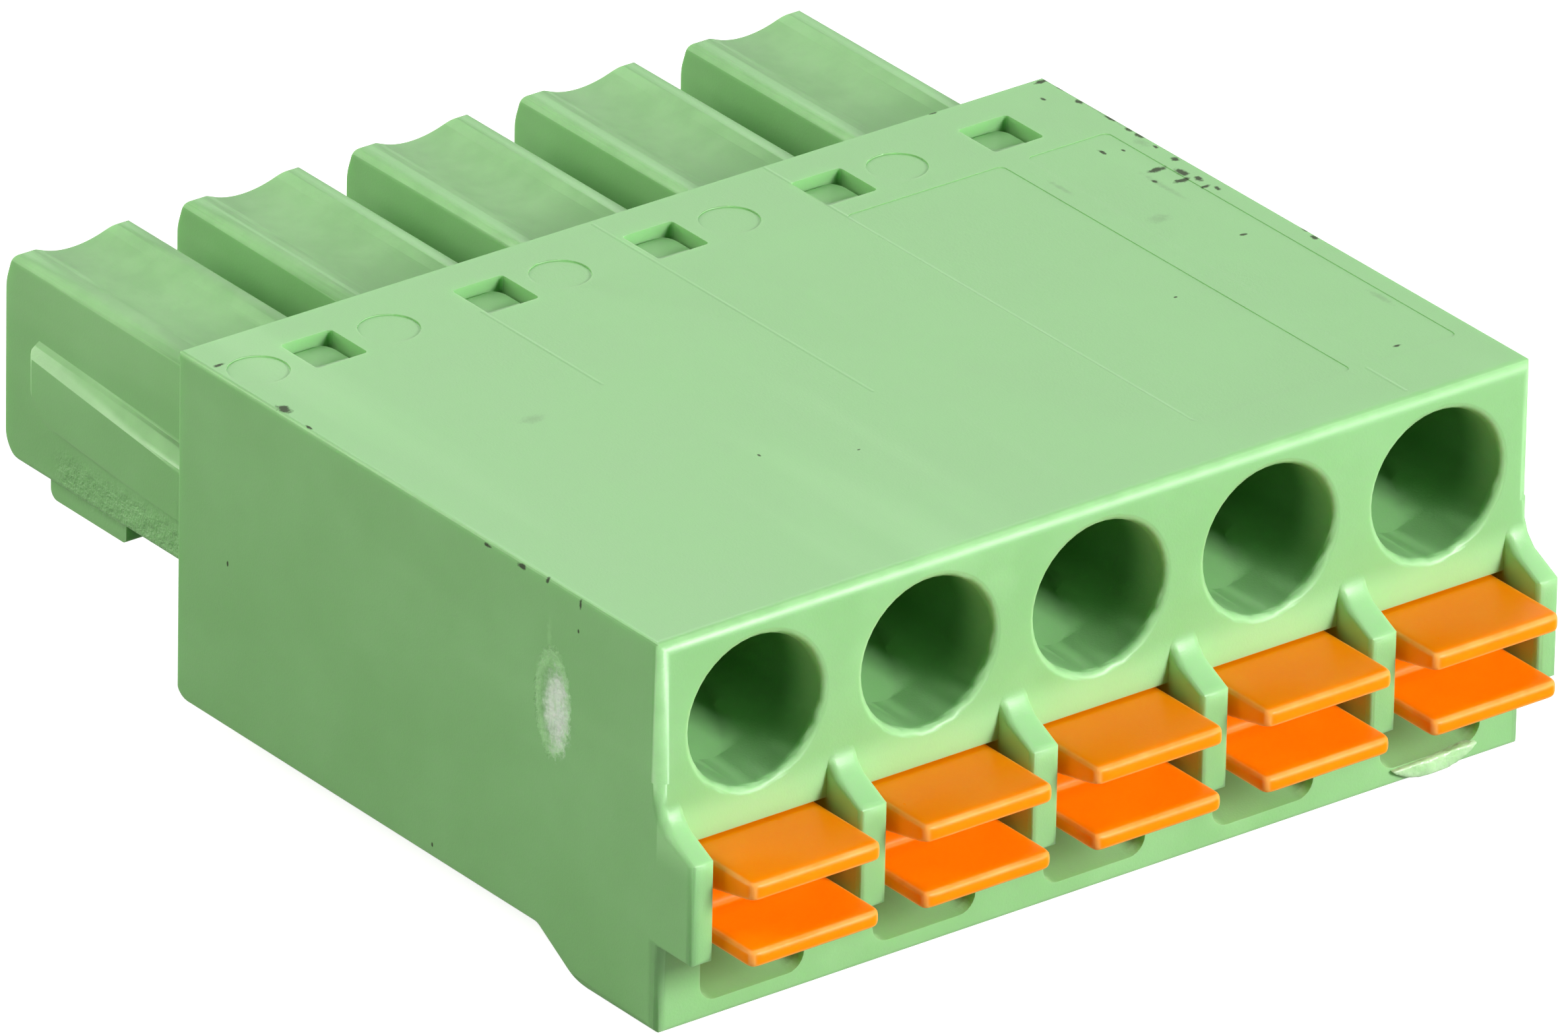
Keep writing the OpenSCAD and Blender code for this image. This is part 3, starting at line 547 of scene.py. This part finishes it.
# %% Metal finishes
def strip_metal(name, light, dark, smooth, rough, stretch):
    """A rolled or plated strip: lines along the strip, cloudy tone and roughness."""
    material, g, shader, where, _ = start_material(name)
    lines = g.noise(g.vector("MULTIPLY", where, stretch), 6 / MM, 4.0, 0.6)
    clouds = use_group(g, skin, {"Place": where, "Cloud size": 1.2, "Grain size": 0.03})["Cloud"]
    g.feed(shader.inputs["Base Color"], g.mix(g.steps(clouds, 0.3, 0.7), dark, light))
    g.feed(shader.inputs["Roughness"], g.steps(lines, 0.3, 0.7, smooth, rough))
    shader.inputs["Metallic"].default_value = 1.0
    bump = g.node("ShaderNodeBump", {"Height": lines, "Distance": 0.002 * MM, "Strength": 0.7})
    g.feed(shader.inputs["Normal"], bump.outputs["Normal"])
    return material


spring_steel = strip_metal("spring_steel", (0.62, 0.62, 0.60, 1), (0.48, 0.48, 0.47, 1),
                           0.22, 0.42, (5, 0.3, 0.3))
tinned_copper = strip_metal("tinned_copper", (0.66, 0.64, 0.60, 1), (0.52, 0.50, 0.46, 1),
                            0.34, 0.52, (1, 1, 1))


# %% [markdown]
# ## Clean copies of the mouldings
# A CAD mesh has loose triangles, and plain smooth shading would smear long gradients over its big flat
# faces. A copy of each moulding is merged, shaded smooth by angle, and its normals are weighted by face
# area, so flats stay flat and only the roundings bend the light. The copy stands in for the node, which
# is hidden, and rides on the same body.


# %% Merged copies
def only(piece):
    """Makes one object the only selected and the active one."""
    bpy.ops.object.select_all(action="DESELECT")
    piece.select_set(True)
    bpy.context.view_layer.objects.active = piece


def merged_copy(node_name, piece_name):
    """A copy of a CAD node whose loose triangles are joined and whose flat faces are whole."""
    only(nodes[node_name])
    bpy.ops.object.duplicate()
    piece = bpy.context.object
    piece.name = piece_name
    # The frame's labels stay on the node itself.
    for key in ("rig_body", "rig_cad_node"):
        if key in piece:
            del piece[key]
    piece.parent = None
    piece.matrix_world = Matrix.Identity(4)
    bpy.ops.object.mode_set(mode="EDIT")
    bpy.ops.mesh.select_all(action="SELECT")
    bpy.ops.mesh.remove_doubles(threshold=0.0005 * MM)
    bpy.ops.mesh.dissolve_limited(angle_limit=math.radians(0.5))
    bpy.ops.object.mode_set(mode="OBJECT")
    return piece


def finish_copy(piece, node_name, angle, material, body):
    """Even shading, one finish, the node it stands for hidden, and the body it rides on."""
    only(piece)
    bpy.ops.object.shade_smooth_by_angle(angle=math.radians(angle))
    even = piece.modifiers.new("even_shading", "WEIGHTED_NORMAL")
    even.mode = "FACE_AREA"
    even.weight = 100
    even.keep_sharp = True
    bpy.ops.object.modifier_apply(modifier=even.name)
    piece.data.materials.clear()
    piece.data.materials.append(material)
    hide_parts(node_name)
    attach(piece, body)
    print(piece.name, len(piece.data.polygons), "faces")


# %% Housing and nose
housing = merged_copy("housing", "housing_moulding")
finish_copy(housing, "housing", 35, housing_nylon, "block")
nose = merged_copy("plug_nose", "nose_moulding")
finish_copy(nose, "plug_nose", 35, nose_nylon, "block")

# %% [markdown]
# ## Soft lever tips
# The real levers come out of the mould with well rounded tips. A remesh turns the copy into small
# even faces, and a few smoothing steps then round every edge by about a tenth of a millimetre. The
# remesh has a least size of its own, so the mesh is enlarged for it and made small again.

# %% Levers
GRAIN_OF_MESH = 0.04  # mm
SMOOTHING_STEPS = 26


def round_all_edges(piece, steps=SMOOTHING_STEPS):
    """Remeshes a piece finely and smooths its edges."""
    only(piece)
    bpy.ops.object.mode_set(mode="EDIT")
    bpy.ops.mesh.select_all(action="SELECT")
    bpy.ops.transform.resize(value=(1 / MM,) * 3, center_override=(0, 0, 0))
    bpy.ops.object.mode_set(mode="OBJECT")
    even_faces = piece.modifiers.new("even_faces", "REMESH")
    even_faces.mode = "VOXEL"
    even_faces.voxel_size = GRAIN_OF_MESH
    bpy.ops.object.modifier_apply(modifier=even_faces.name)
    soft = piece.modifiers.new("soft_edges", "SMOOTH")
    soft.factor = 0.5
    soft.iterations = steps
    bpy.ops.object.modifier_apply(modifier=soft.name)
    bpy.ops.object.mode_set(mode="EDIT")
    bpy.ops.mesh.select_all(action="SELECT")
    bpy.ops.transform.resize(value=(MM,) * 3, center_override=(0, 0, 0))
    bpy.ops.mesh.select_all(action="DESELECT")
    bpy.ops.object.mode_set(mode="OBJECT")


for number, name in enumerate(levers, 1):
    lever = merged_copy(name, f"lever_{number}_moulding")
    round_all_edges(lever)
    finish_copy(lever, name, 60, lever_nylon, f"lever_{number}")

# %% [markdown]
# ## Torn flash
# Under the last lever the mould has left a thin lip of nylon along the lower edge of the recess.
# A flat disc is squashed to that curve, cut off along the recess, roughened a little by random moves
# of its points, and its edges are rounded in the same way as the levers'.

# %% Flash
FLASH_AT = place(7.67, 0.02, -7.04)
FLASH_RADIUS, FLASH_THICKNESS, FLASH_SQUASH = 1.10 * MM, 0.26 * MM, 0.55
RECESS_EDGE, RECESS_TILT = place(7.67, 0, -7.24), (-0.03, 0, 1)
FLASH_ROUGHNESS, FLASH_SMOOTHING = 0.012 * MM, 7
bpy.ops.object.select_all(action="DESELECT")
bpy.ops.mesh.primitive_cylinder_add(vertices=64, radius=FLASH_RADIUS, depth=FLASH_THICKNESS,
                                    location=FLASH_AT, rotation=(math.pi / 2, 0, 0))
flash = bpy.context.object
flash.name = "torn_flash"
bpy.ops.object.transform_apply(location=True, rotation=True, scale=True)
bpy.ops.object.mode_set(mode="EDIT")
bpy.ops.mesh.select_all(action="SELECT")
bpy.ops.transform.resize(value=(1.0, 1.0, FLASH_SQUASH), center_override=FLASH_AT)
bpy.ops.mesh.bisect(plane_co=RECESS_EDGE, plane_no=RECESS_TILT, use_fill=True, clear_outer=True)
bpy.ops.mesh.select_all(action="SELECT")
bpy.ops.transform.vertex_random(offset=FLASH_ROUGHNESS, seed=4)
bpy.ops.mesh.normals_make_consistent(inside=False)
bpy.ops.object.mode_set(mode="OBJECT")
round_all_edges(flash, FLASH_SMOOTHING)
bpy.ops.object.shade_smooth_by_angle(angle=math.radians(50))
flash.data.materials.append(flash_nylon)
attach(flash, "block")
print("flash has", len(flash.data.polygons), "faces")

# %% Metal on the hidden nodes
for name, node in nodes.items():
    if name.startswith(("clamp_spring", "contact")):
        node.data.materials.clear()
        node.data.materials.append(spring_steel if name.startswith("clamp_spring") else tinned_copper)
